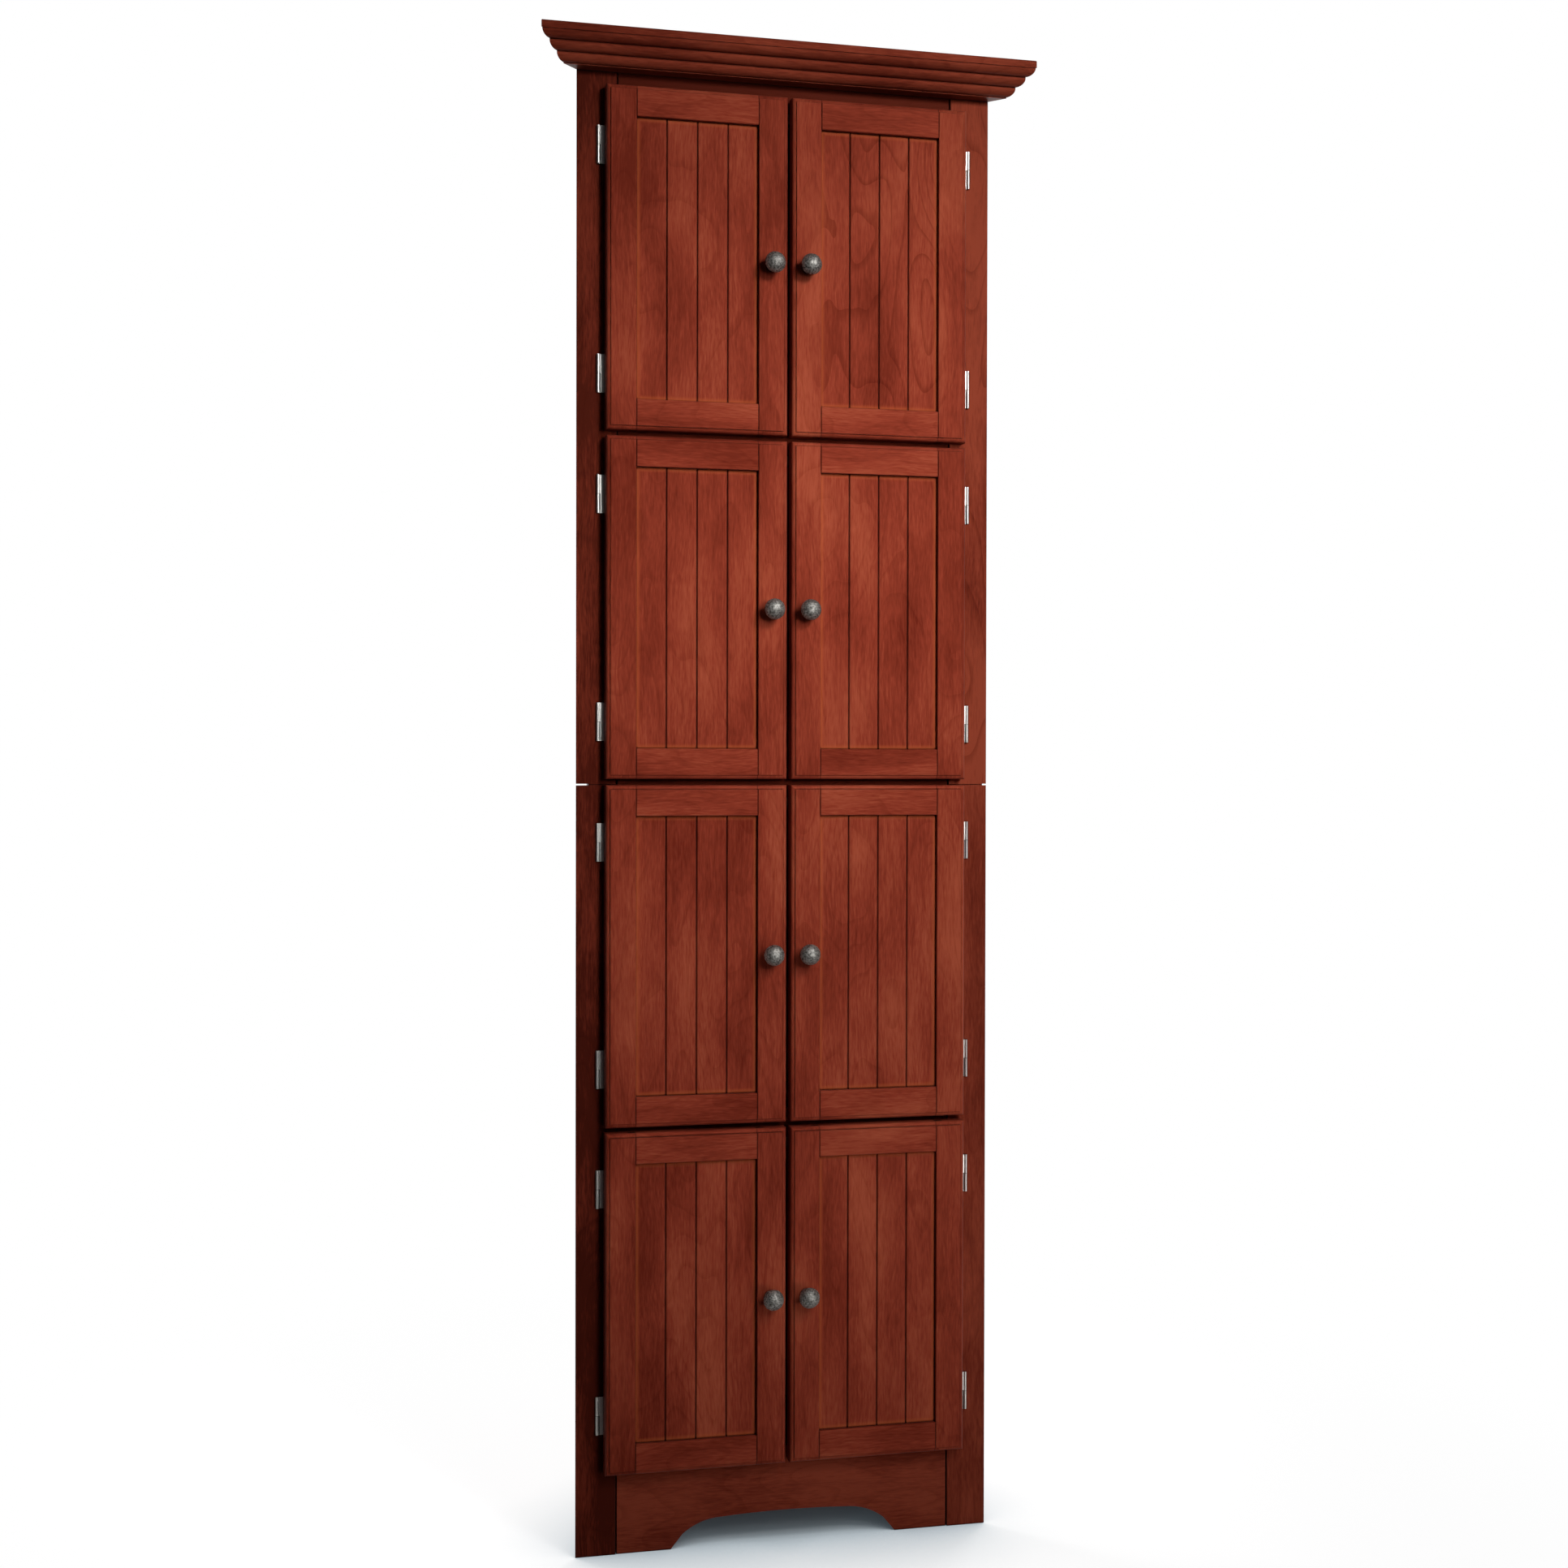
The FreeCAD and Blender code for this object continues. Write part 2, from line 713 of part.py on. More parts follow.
def export(name, pieces):
    """Write a node as one STEP file of separate solids, in the cabinet's own frame."""
    shapes = [moved(piece, 0, front_y, 0) for piece in pieces]
    shape = shapes[0] if len(shapes) == 1 else Part.makeCompound(shapes)
    shape.exportStep("parts/" + name + ".step")


def build_cases():
    """Face frames, side panels, boards and crown of both units."""
    spans = rail_spans()
    upper, lower = spans[:3], spans[3:]
    upper_stile = frame_stile(lower_height, case_height, upper, upper_door_feet)
    lower_stile = frame_stile(0, lower_height, lower, lower_door_feet)
    for unit, stile in (("upper", upper_stile), ("lower", lower_stile)):
        export(unit + "_left_stile", [stile.cut(seam_joint(left_seam_nick))])
        export(unit + "_right_stile", [flipped(stile.cut(seam_joint(right_seam_nick)))])
    export("upper_rails", [rail(span) for span in upper])
    export("lower_rails", [rail(span) for span in lower[:2]])
    export("arched_toe_board", [rail(lower[2]).cut(arch())])
    upper_levels = shelf_levels(upper[1:2], [lower_height])
    lower_levels = shelf_levels(lower[1:], [lower_height - shelf_thickness])
    export("upper_shelf_boards", shelf_boards(upper_levels))
    export("lower_shelf_boards", shelf_boards(lower_levels))
    upper_sides = side_panels(lower_height, case_height, upper_levels)
    lower_sides = side_panels(0, lower_height, lower_levels)
    for unit, sides in (("upper", upper_sides), ("lower", lower_sides)):
        for hand, panel in zip(("left", "right"), sides):
            export(unit + "_" + hand + "_side", [panel])
    top_plan = [(-half_front, 0), (half_front, 0), (0, half_front)]
    export("top_board", [column(top_plan, case_height, overall_height)])
    export("crown_moulding", [crown_moulding()])
    export("stacking_dowels", dowels(0))


def build_frame_fittings():
    """Hinge halves, screws and catches that stay on the cabinet."""
    screw = pan_screw()
    leaves = []
    pins = []
    screws = []
    seat = overlay + leaf_thickness
    for middle in [foot + level for foot in door_feet for level in hinge_heights]:
        for side in (1, -1):
            pair = [frame_leaf(middle), hinge_pin(middle)]
            for z in (middle - hinge_screw_spread, middle + hinge_screw_spread):
                pair.append(aimed(screw, V(seat, flange_depth / 2, z), RIGHT))
            pair = [moved(piece, -door_edge, 0, 0) for piece in pair]
            pair = pair if side > 0 else [flipped(piece) for piece in pair]
            leaves.append(pair[0])
            pins.append(pair[1])
            screws += pair[2:]
    export("frame_hinge_leaves", leaves)
    export("hinge_pins", pins)
    long_screw = pan_screw(catch_screw_length)
    screws += [aimed(long_screw, V(*place), -UP) for place in catch_screw_places()]
    export("frame_screws", screws)
    export("magnetic_catches", [catch(foot + door_height - overlay) for foot in door_feet])


def build_doors():
    """Eight alike doors, numbered from the top row down. A right door is the mirror image of a left one."""
    blank = door_blank()
    groups = {
        "stiles": door_stiles(blank),
        "rails": door_rails(blank),
        "panel": panel_planks(),
        "knob": [knob()],
        "hardware": door_hardware(),
    }
    for row, foot in enumerate(door_feet, start=1):
        for group, pieces in groups.items():
            left = [moved(piece, -door_edge, 0, foot) for piece in pieces]
            export("door_" + str(row) + "_left_" + group, left)
            export("door_" + str(row) + "_right_" + group, [flipped(piece) for piece in left])


os.makedirs("parts", exist_ok=True)
build_cases()
build_frame_fittings()
build_doors()
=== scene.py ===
"""Looks of the corner cabinet: stained wood, pewter knobs and nickel hinges, lit as in a plain studio.

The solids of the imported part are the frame. This file gives each of them its finish, and sets the floor, the
light and the camera.
"""

import logging
import math
import random
from collections.abc import Sequence
from dataclasses import dataclass, field
from enum import Enum
from typing import Any

import bpy
from mathutils import Matrix, Vector


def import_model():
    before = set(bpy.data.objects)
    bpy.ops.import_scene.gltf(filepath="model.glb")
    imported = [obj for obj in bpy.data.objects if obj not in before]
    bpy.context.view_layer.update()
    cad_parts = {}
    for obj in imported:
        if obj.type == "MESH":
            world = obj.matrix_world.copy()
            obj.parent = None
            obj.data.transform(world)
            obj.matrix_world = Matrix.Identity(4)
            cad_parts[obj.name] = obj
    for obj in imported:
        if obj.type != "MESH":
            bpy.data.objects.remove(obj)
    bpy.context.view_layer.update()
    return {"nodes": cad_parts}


Colour = tuple[float, float, float, float]
Place = tuple[float, float, float]
Span = tuple[float, float]
Stops = Sequence[tuple[float, str]]
Nodes = dict[str, bpy.types.Object]
Tree = bpy.types.NodeTree
Socket = bpy.types.NodeSocket

LOG = logging.getLogger("corner_cabinet")
MM_PER_METRE = 1000.0
IMAGE_PIXELS = 1932
SENSOR_MM = 36.0
FRAME_FACE_Y_MM = -105.75
DOOR_ROWS = (1, 2, 3, 4)

# Properties of a board that its material reads: a shift of the stain's tone, which also carries painted light
# and shade, and the strength of the rings.
TONE_AND_SHADING, FIGURE = "stain_tone_and_painted_shading", "ring_figure"

# How far the tone of one board strays from the others, to either side.
TONE_SPREAD = 0.035

# Sockets of the colour mix node, which has one set for each kind of data.
MIX_A, MIX_B, MIX_RESULT = 6, 7, 2


class Grain(Enum):
    """Direction in which a board's grain runs: zero along it, one across it."""

    UPRIGHT = (1.0, 1.0, 0.0)
    LEVEL = (0.0, 1.0, 1.0)


class Side(Enum):
    """Hand of a door or a stile, seen from the front."""

    LEFT = "left"
    RIGHT = "right"


class Rings(Enum):
    """How strongly year rings show on a board."""

    PLAIN = 0.2
    LIVELY = 0.4
    SWIRLED = 0.45


def linear(hex_colour: str) -> Colour:
    """Turn an sRGB hex colour into linear values, by the curve of the sRGB standard.

    Args:
        hex_colour: Six hex digits, such as "8a3a28".

    Returns:
        Red, green, blue and full alpha for a colour socket.
    """
    values = []
    for start in (0, 2, 4):
        value = int(hex_colour[start : start + 2], 16) / 255
        values.append(value / 12.92 if value <= 0.04045 else ((value + 0.055) / 1.055) ** 2.4)
    return values[0], values[1], values[2], 1.0


def per_metre(size_mm: float) -> float:
    """Give the pattern scale at which one feature has this size in millimetres."""
    return MM_PER_METRE / size_mm


def add_node(
    tree: Tree,
    kind: str,
    settings: dict[str, Any] | None = None,
    inputs: dict[str | int, Any] | None = None,
) -> bpy.types.Node:
    """Add a node, set its options, and fill or link its inputs.

    Args:
        tree: Node tree that gets the node.
        kind: Name of the node's type after "ShaderNode".
        settings: Options of the node.
        inputs: Value, or output of another node, for each input by name or number.

    Returns:
        The new node.
    """
    node = tree.nodes.new("ShaderNode" + kind)
    for name, value in (settings or {}).items():
        setattr(node, name, value)
    for key, value in (inputs or {}).items():
        if isinstance(value, Socket):
            tree.links.new(value, node.inputs[key])
        else:
            node.inputs[key].default_value = value
    return node


def new_material(name: str) -> tuple[bpy.types.Material, Tree]:
    """Make an empty node material.

    Args:
        name: Name of the material.

    Returns:
        The material and its node tree.
    """
    material = bpy.data.materials.new(name)
    material.use_nodes = True
    material.node_tree.nodes.clear()
    return material, material.node_tree


def noise(tree: Tree, place: Socket, size_mm: float, detail: float) -> bpy.types.Node:
    """Add a noise.

    Args:
        tree: Node tree that gets the node.
        place: Coordinates of the surface.
        size_mm: Real size of the noise's largest features.
        detail: Number of finer layers.

    Returns:
        The noise node.
    """
    inputs = {"Vector": place, "Scale": per_metre(size_mm), "Detail": detail}
    return add_node(tree, "TexNoise", inputs=inputs)


def calculate(tree: Tree, operation: str, *values: Socket | float) -> Socket:
    """Add a math node.

    Args:
        tree: Node tree that gets the node.
        operation: Name of the operation.
        values: Its numbers, or outputs of other nodes.

    Returns:
        The result.
    """
    return add_node(tree, "Math", {"operation": operation}, dict(enumerate(values))).outputs[0]


def ease(
    tree: Tree, value: Socket, start: float, end: float, first: float = 0.0, last: float = 1.0
) -> Socket:
    """Lead smoothly from one number to another while a value rises.

    Args:
        tree: Node tree that gets the node.
        value: Value to read.
        start: Value at which the change begins.
        end: Value at which it ends.
        first: Result up to the start.
        last: Result from the end on.

    Returns:
        The result.
    """
    inputs = {"Value": value, "From Min": start, "From Max": end, "To Min": first, "To Max": last}
    return add_node(tree, "MapRange", {"interpolation_type": "SMOOTHSTEP"}, inputs).outputs["Result"]


def mix(
    tree: Tree, share: Socket, first: Socket | Colour, second: Socket | Colour, blend: str = "MIX"
) -> Socket:
    """Mix two colours.

    Args:
        tree: Node tree that gets the node.
        share: How much of the second colour shows.
        first: Colour underneath.
        second: Colour on top.
        blend: Way in which the second colour is laid on.

    Returns:
        The mixed colour.
    """
    settings = {"data_type": "RGBA", "blend_type": blend}
    return add_node(tree, "Mix", settings, {0: share, MIX_A: first, MIX_B: second}).outputs[MIX_RESULT]


def ramp(tree: Tree, value: Socket, stops: Stops) -> Socket:
    """Turn a value into a colour.

    Args:
        tree: Node tree that gets the node.
        value: Value to read.
        stops: Value and hex colour of each stop, from the first to the last.

    Returns:
        The colour.
    """
    node = add_node(tree, "ValToRGB", inputs={"Fac": value})
    elements = node.color_ramp.elements
    while len(elements) < len(stops):
        elements.new(0.5)
    for element, (place, colour) in zip(elements, stops):
        element.position = place
        element.color = linear(colour)
    return node.outputs["Color"]


def openness(tree: Tree, reach_mm: float, samples: int = 8) -> Socket:
    """Measure how open a spot is: low in corners and grooves, one in the open.

    Args:
        tree: Node tree that gets the node.
        reach_mm: How far away a neighbouring surface still counts.
        samples: Number of directions that are tried.

    Returns:
        The openness.
    """
    inputs = {"Distance": reach_mm / MM_PER_METRE}
    return add_node(tree, "AmbientOcclusion", {"samples": samples}, inputs).outputs["AO"]


def skin(tree: Tree, height: Socket, strength: float, depth_mm: float) -> Socket:
    """Roughen a surface slightly.

    Args:
        tree: Node tree that gets the node.
        height: Pattern of the roughness.
        strength: How strongly it shows.
        depth_mm: Depth of the pattern.

    Returns:
        The surface's normal.
    """
    inputs = {"Strength": strength, "Distance": depth_mm / MM_PER_METRE, "Height": height}
    return add_node(tree, "Bump", inputs=inputs).outputs["Normal"]


def board_property(tree: Tree, name: str) -> Socket:
    """Read a property of the board that wears the material.

    Args:
        tree: Node tree that gets the node.
        name: Name of the property.

    Returns:
        Its value.
    """
    return add_node(tree, "Attribute", {"attribute_type": "OBJECT", "attribute_name": name}).outputs["Fac"]


def cover(tree: Tree, inputs: dict[str, Any]) -> None:
    """Lead a principled shader to the material's output.

    Args:
        tree: Node tree of the material.
        inputs: Value or link for each input of the shader.
    """
    shader = add_node(tree, "BsdfPrincipled", inputs=inputs)
    add_node(tree, "OutputMaterial", inputs={"Surface": shader.outputs["BSDF"]})


@dataclass(frozen=True)
class Pattern:
    """One scale of the marks in a board.

    Attributes:
        size_mm: Width of a mark across the grain.
        length: How many times as long as wide it is.
        detail: Number of finer layers.
        weight: Its share of the tone.
    """

    size_mm: float
    length: float
    detail: float
    weight: float = 1.0


BLOTCHES = Pattern(size_mm=65.0, length=3.0, detail=2.0, weight=0.52)
STREAKS = Pattern(size_mm=2.6, length=14.0, detail=2.0, weight=0.2)
FLECKS = Pattern(size_mm=1.3, length=9.0, detail=1.0, weight=0.2)
YEAR_RINGS = Pattern(size_mm=110.0, length=3.5, detail=1.5)


@dataclass(frozen=True)
class StainedWood:
    """Cherry under a red-brown wiping stain, a dark glaze in the joints and satin lacquer.

    The stain takes unevenly, so the tone drifts over a hand's width and from board to board. Fine streaks
    follow the grain, and year rings show in places as dark swirls. The glaze stays in grooves and joints, and
    its dark colour there is also painted shade, where shade falls. A lighter rim along a panel's edges is
    painted bounce light. The sheen comes from the fibres under the lacquer, so it is red too.

    Attributes:
        name: Name of the material.
        grain: Direction of the grain.
        deep: Darkest colour of the stain.
        middle: Usual colour of the stain.
        bright: Lightest colour of the stain.
        tones: Tones at which those three colours lie.
        stain: Patterns that make up the tone.
        drift_mm: Distance over which the grain wavers.
        waver_mm: How far it wavers.
        ring_count: Number of rings from the lowest to the highest tone of their pattern.
        ring_start: Share of a ring's width that stays free of its line.
        ring_colour: Tint of the ring lines.
        glaze_and_shade: Colour of the glaze, laid in corners and grooves, where it is also painted shade.
        glaze_and_shade_reach_mm: How near a corner the glaze and painted shade begin.
        glaze_and_shade_span: Openness at which they are thickest, and at which they end.
        glaze_and_shade_strength: How well they cover where they are thickest.
        rim: Start and end of the rim across and up, as shares of the piece's box.
        rim_colour: Colour of the rim; the lighter default is painted bounce light.
        rim_strength: How strongly the rim shows at its edge.
        roughness: Roughness of the lacquer.
        gloss: Strength of its reflection.
        sheen: Tint of its reflection.
    """

    name: str
    grain: Grain
    deep: str = "6a2518"
    middle: str = "8b3827"
    bright: str = "a54e36"
    tones: tuple[float, float, float] = (0.32, 0.46, 0.6)
    stain: tuple[Pattern, ...] = (BLOTCHES, STREAKS, FLECKS)
    drift_mm: float = 120.0
    waver_mm: float = 14.0
    ring_count: float = 16.0
    ring_start: float = 0.75
    ring_colour: str = "a8806c"
    glaze_and_shade: str = "140706"
    glaze_and_shade_reach_mm: float = 3.0
    glaze_and_shade_span: Span = (0.5, 0.96)
    glaze_and_shade_strength: float = 0.95
    rim: tuple[Span, ...] = ()
    # The lighter default rim colour is painted bounce light along a panel's edges; door rails use the rim for
    # dark joints.
    rim_colour: str = "b85a31"
    rim_strength: float = 0.6
    roughness: float = 0.4
    gloss: float = 0.25
    sheen: str = "b0482c"

    def material(self) -> bpy.types.Material:
        """Build the wood's material."""
        material, tree = new_material(self.name)
        place = self._wavy(tree, add_node(tree, "TexCoord").outputs["Object"])
        stops = list(zip(self.tones, (self.deep, self.middle, self.bright)))
        colour = ramp(tree, self._tone(tree, place), stops)
        colour = mix(tree, self._rings(tree, place), colour, linear(self.ring_colour), "MULTIPLY")
        if self.rim:
            colour = mix(tree, self._rim(tree), colour, linear(self.rim_colour))
        # Glaze and painted shade: darker where the spot is closed in, by how open it is.
        corner = openness(tree, self.glaze_and_shade_reach_mm)
        glazed_and_shaded = ease(tree, corner, *self.glaze_and_shade_span, first=self.glaze_and_shade_strength, last=0.0)
        inputs = {
            "Base Color": mix(tree, glazed_and_shaded, colour, linear(self.glaze_and_shade)),
            "Roughness": self.roughness,
            "Specular IOR Level": self.gloss,
            "Specular Tint": linear(self.sheen),
        }
        cover(tree, inputs)
        return material

    def _wavy(self, tree: Tree, place: Socket) -> Socket:
        """Bend a board's coordinates a little, so that the grain wavers.

        Args:
            tree: Node tree of the material.
            place: Coordinates of the board.

        Returns:
            Bent coordinates.
        """
        drift = noise(tree, place, self.drift_mm, detail=1.0).outputs["Color"]
        waver = (self.waver_mm / MM_PER_METRE,) * 3
        inputs = {0: drift, 1: waver, 2: place}
        return add_node(tree, "VectorMath", {"operation": "MULTIPLY_ADD"}, inputs).outputs[0]

    def _marks(self, tree: Tree, place: Socket, pattern: Pattern) -> Socket:
        """Draw a pattern, stretched along the grain.

        Args:
            tree: Node tree of the material.
            place: Coordinates of the board.
            pattern: Pattern to draw.

        Returns:
            Strength of the pattern.
        """
        scale = tuple(1.0 if across else 1.0 / pattern.length for across in self.grain.value)
        drawn = add_node(tree, "Mapping", inputs={"Vector": place, "Scale": scale}).outputs["Vector"]
        return noise(tree, drawn, pattern.size_mm, pattern.detail).outputs["Fac"]

    def _tone(self, tree: Tree, place: Socket) -> Socket:
        """Add the stain's patterns to the board's own tone, which carries its painted light and shade.

        Args:
            tree: Node tree of the material.
            place: Coordinates of the board.

        Returns:
            Tone of the stain.
        """
        tone = board_property(tree, TONE_AND_SHADING)
        for pattern in self.stain:
            marks = self._marks(tree, place, pattern)
            tone = calculate(tree, "MULTIPLY_ADD", marks, pattern.weight, tone)
        return tone

    def _rings(self, tree: Tree, place: Socket) -> Socket:
        """Draw year rings as contour lines of a slow noise, as strong as the board's own figure.

        Args:
            tree: Node tree of the material.
            place: Coordinates of the board.

        Returns:
            Strength of the ring lines.
        """
        steps = calculate(tree, "MULTIPLY", self._marks(tree, place, YEAR_RINGS), self.ring_count)
        line = ease(tree, calculate(tree, "FRACT", steps), self.ring_start, 1.0)
        return calculate(tree, "MULTIPLY", line, board_property(tree, FIGURE))

    def _rim(self, tree: Tree) -> Socket:
        """Find the visible rim of a piece from the place inside the piece's own box.

        Args:
            tree: Node tree of the material.

        Returns:
            Strength of the rim's colour, strongest at the visible edge.
        """
        inside = add_node(tree, "SeparateXYZ", inputs={0: add_node(tree, "TexCoord").outputs["Generated"]})
        centre = 0.5
        rims = []
        for axis, (edge, reach) in zip("XZ", self.rim):
            from_side = calculate(tree, "PINGPONG", inside.outputs[axis], centre)
            rims.append(ease(tree, from_side, edge, reach, first=self.rim_strength, last=0.0))
        if len(rims) == 1:
            return rims[0]
        return calculate(tree, "MAXIMUM", *rims)


@dataclass(frozen=True)
class AntiquePewter:
    """Cast zinc alloy with a rubbed pewter finish: mottled grey, dark in the pits, with a broad soft shine.

    Attributes:
        name: Name of the material.
        colours: Place in the mottle and colour of the pits, the plain metal and the rubbed spots.
        mottle_mm: Size of the mottle.
        cast_mm: Size of the bumps of the casting.
        cast_depth_mm: Depth of those bumps.
        cast_strength: How strongly they show.
        roughness: Roughness of the metal.
    """

    name: str = "antique pewter, cast and rubbed"
    colours: Stops = ((0.3, "4a4845"), (0.5, "96938e"), (0.68, "c8c5be"))
    mottle_mm: float = 2.2
    cast_mm: float = 1.1
    cast_depth_mm: float = 0.3
    cast_strength: float = 0.25
    roughness: float = 0.62

    def material(self) -> bpy.types.Material:
        """Build the pewter's material."""
        material, tree = new_material(self.name)
        place = add_node(tree, "TexCoord").outputs["Object"]
        mottle = noise(tree, place, self.mottle_mm, detail=4.0)
        cast = noise(tree, place, self.cast_mm, detail=2.0)
        inputs = {
            "Base Color": ramp(tree, mottle.outputs["Fac"], self.colours),
            "Metallic": 1.0,
            "Roughness": self.roughness,
            "Normal": skin(tree, cast.outputs["Fac"], self.cast_strength, self.cast_depth_mm),
        }
        cover(tree, inputs)
        return material


@dataclass(frozen=True)
class NickelPlate:
    """Steel sheet under satin nickel: pale, with a soft bright reflection, and painted shade in its corners.

    Attributes:
        name: Name of the material.
        colours: Place in the brushing and colour of the worn and of the whole plate.
        brush_mm: Size of the brush marks.
        corner_shade: Colour of the painted shade in corners.
        corner_shade_reach_mm: How near a corner the painted shade begins.
        corner_shade_span: Openness at which the painted shade is thickest, and at which it ends.
        corner_shade_strength: How well it covers where it is thickest.
        roughness: Roughness of the plate.
    """

    name: str = "satin nickel on steel sheet"
    colours: Stops = ((0.35, "d2cdc6"), (0.6, "f2efe9"))
    brush_mm: float = 0.8
    corner_shade: str = "1d1916"
    corner_shade_reach_mm: float = 2.5
    corner_shade_span: Span = (0.35, 0.85)
    corner_shade_strength: float = 0.9
    roughness: float = 0.42

    def material(self) -> bpy.types.Material:
        """Build the nickel's material."""
        material, tree = new_material(self.name)
        place = add_node(tree, "TexCoord").outputs["Object"]
        brush = noise(tree, place, self.brush_mm, detail=3.0)
        colour = ramp(tree, brush.outputs["Fac"], self.colours)
        # Painted shade: the plate darkens where it lies in a corner.
        corner = openness(tree, self.corner_shade_reach_mm)
        corner_shaded = ease(tree, corner, *self.corner_shade_span, first=self.corner_shade_strength, last=0.0)
        inputs = {
            "Base Color": mix(tree, corner_shaded, colour, linear(self.corner_shade)),
            "Metallic": 1.0,
            "Roughness": self.roughness,
        }
        cover(tree, inputs)
        return material


@dataclass(frozen=True)
class MouldedPlastic:
    """Injection-moulded brown ABS: dull, with a faint spark-eroded grain.

    Attributes:
        name: Name of the material.
        colours: Place in the grain and colour of its hollows and its peaks.
        grain_mm: Size of the grain.
        grain_depth_mm: Depth of the grain.
        grain_strength: How strongly it shows.
        roughness: Roughness of the plastic.
    """

    name: str = "brown ABS, moulded"
    colours: Stops = ((0.4, "35231b"), (0.62, "44301f"))
    grain_mm: float = 0.6
    grain_depth_mm: float = 0.1
    grain_strength: float = 0.2
    roughness: float = 0.55

    def material(self) -> bpy.types.Material:
        """Build the plastic's material."""
        material, tree = new_material(self.name)
        place = add_node(tree, "TexCoord").outputs["Object"]
        grain = noise(tree, place, self.grain_mm, detail=2.0).outputs["Fac"]
        inputs = {
            "Base Color": ramp(tree, grain, self.colours),
            "Roughness": self.roughness,
            "Normal": skin(tree, grain, self.grain_strength, self.grain_depth_mm),
        }
        cover(tree, inputs)
        return material


@dataclass
class Finishes:
    """Materials of the cabinet, each made once.

    Attributes:
        nodes: Nodes of the frame by name.
        door_opening: Width and height of the opening in a door's frame, in millimetres.
        bounce_light_rim_mm: Width of the lighter rim of a panel, painted bounce light.
        joint_mm: Width of the line of glaze where a rail meets a stile.
        joint_colour: Colour of that line.
        joint_strength: How well it covers.
        frame_stain_and_shade: Deep, middle and bright colour of the face frame: the stain, darkened by painted
            shade.
        bare_beech: Deep, middle and bright colour of the dowels.
        beech_shadow: Colour of the painted shade on the dowels in corners.
    """

    nodes: Nodes
    door_opening: Span = (150.0, 338.0)
    bounce_light_rim_mm: float = 7.0
    joint_mm: float = 1.6
    joint_colour: str = "1c0906"
    joint_strength: float = 0.9
    frame_stain_and_shade: tuple[str, str, str] = ("43160e", "6f2b1d", "8c3e2b")
    bare_beech: tuple[str, str, str] = ("b58a5e", "c79d70", "d6b088")
    beech_shadow: str = "8a6642"
    upright_frame: bpy.types.Material = field(init=False)
    level_frame: bpy.types.Material = field(init=False)
    upright_door: bpy.types.Material = field(init=False)
    level_door: bpy.types.Material = field(init=False)
    planks: bpy.types.Material = field(init=False)
    upright_case: bpy.types.Material = field(init=False)
    level_case: bpy.types.Material = field(init=False)
    beech: bpy.types.Material = field(init=False)
    pewter: bpy.types.Material = field(init=False)
    nickel: bpy.types.Material = field(init=False)
    plastic: bpy.types.Material = field(init=False)

    def __post_init__(self) -> None:
        """Make the materials."""
        # The face frame wears the stain darkened by painted shade, for the shade it lies in behind the proud
        # doors.
        self.upright_frame = StainedWood(
            "dark stained cherry, frame stiles", Grain.UPRIGHT, *self.frame_stain_and_shade
        ).material()
        self.level_frame = StainedWood(
            "dark stained cherry, frame rails", Grain.LEVEL, *self.frame_stain_and_shade
        ).material()
        self.upright_door = StainedWood("stained cherry, door stiles", Grain.UPRIGHT).material()
        self.level_door = StainedWood(
            "stained cherry, door rails",
            Grain.LEVEL,
            rim=self._rim("door_1_left_rails", self.joint_mm)[:1],
            rim_colour=self.joint_colour,
            rim_strength=self.joint_strength,
        ).material()
        # A lighter rim along each panel's visible edges: painted bounce light.
        bounce_light_rim = self._rim("door_1_left_panel", self.bounce_light_rim_mm)
        self.planks = StainedWood("stained cherry, planks", Grain.UPRIGHT, rim=bounce_light_rim).material()
        self.upright_case = StainedWood("stained cherry veneer, sides", Grain.UPRIGHT).material()
        self.level_case = StainedWood("stained cherry veneer, boards", Grain.LEVEL).material()
        # The bare beech has no glaze: its darker colour in corners is painted shade only.
        self.beech = StainedWood(
            "bare beech", Grain.UPRIGHT, *self.bare_beech, glaze_and_shade=self.beech_shadow
        ).material()
        self.pewter = AntiquePewter().material()
        self.nickel = NickelPlate().material()
        self.plastic = MouldedPlastic().material()

    def _rim(self, name: str, reach_mm: float) -> tuple[Span, ...]:
        """Find where a piece's visible rim lies inside the piece's box, whose edge is hidden in a groove.

        Args:
            name: Node of the piece.
            reach_mm: Width of the rim.

        Returns:
            Start and end of the rim across and up, as shares of the box.
        """
        box = self.nodes[name].dimensions * MM_PER_METRE
        shares = []
        for size, opening in zip((box.x, box.z), self.door_opening):
            hidden = (size - opening) / 2
            shares.append((hidden / size, (hidden + reach_mm) / size))
        return tuple(shares)


def dress(
    nodes: Nodes,
    name: str,
    material: bpy.types.Material,
    rings: Rings = Rings.PLAIN,
    shade: float = 0.0,
) -> None:
    """Give a node of the frame its material and its own tone, with its painted light and shade.

    Args:
        nodes: Nodes of the frame by name.
        name: Node to dress.
        material: Finish of the node.
        rings: How strongly year rings show on it.
        shade: Painted light and shade on this board, as a shift of the stain's tone: up lighter, down darker.
    """
    node = nodes[name]
    # The board's tone: its painted light and shade, plus a random drift of the stain.
    node[TONE_AND_SHADING] = shade + random.Random(name).uniform(-TONE_SPREAD, TONE_SPREAD)
    node[FIGURE] = rings.value
    node.data.materials.clear()
    node.data.materials.append(material)
    LOG.info("dressed %s in %s", name, material.name)


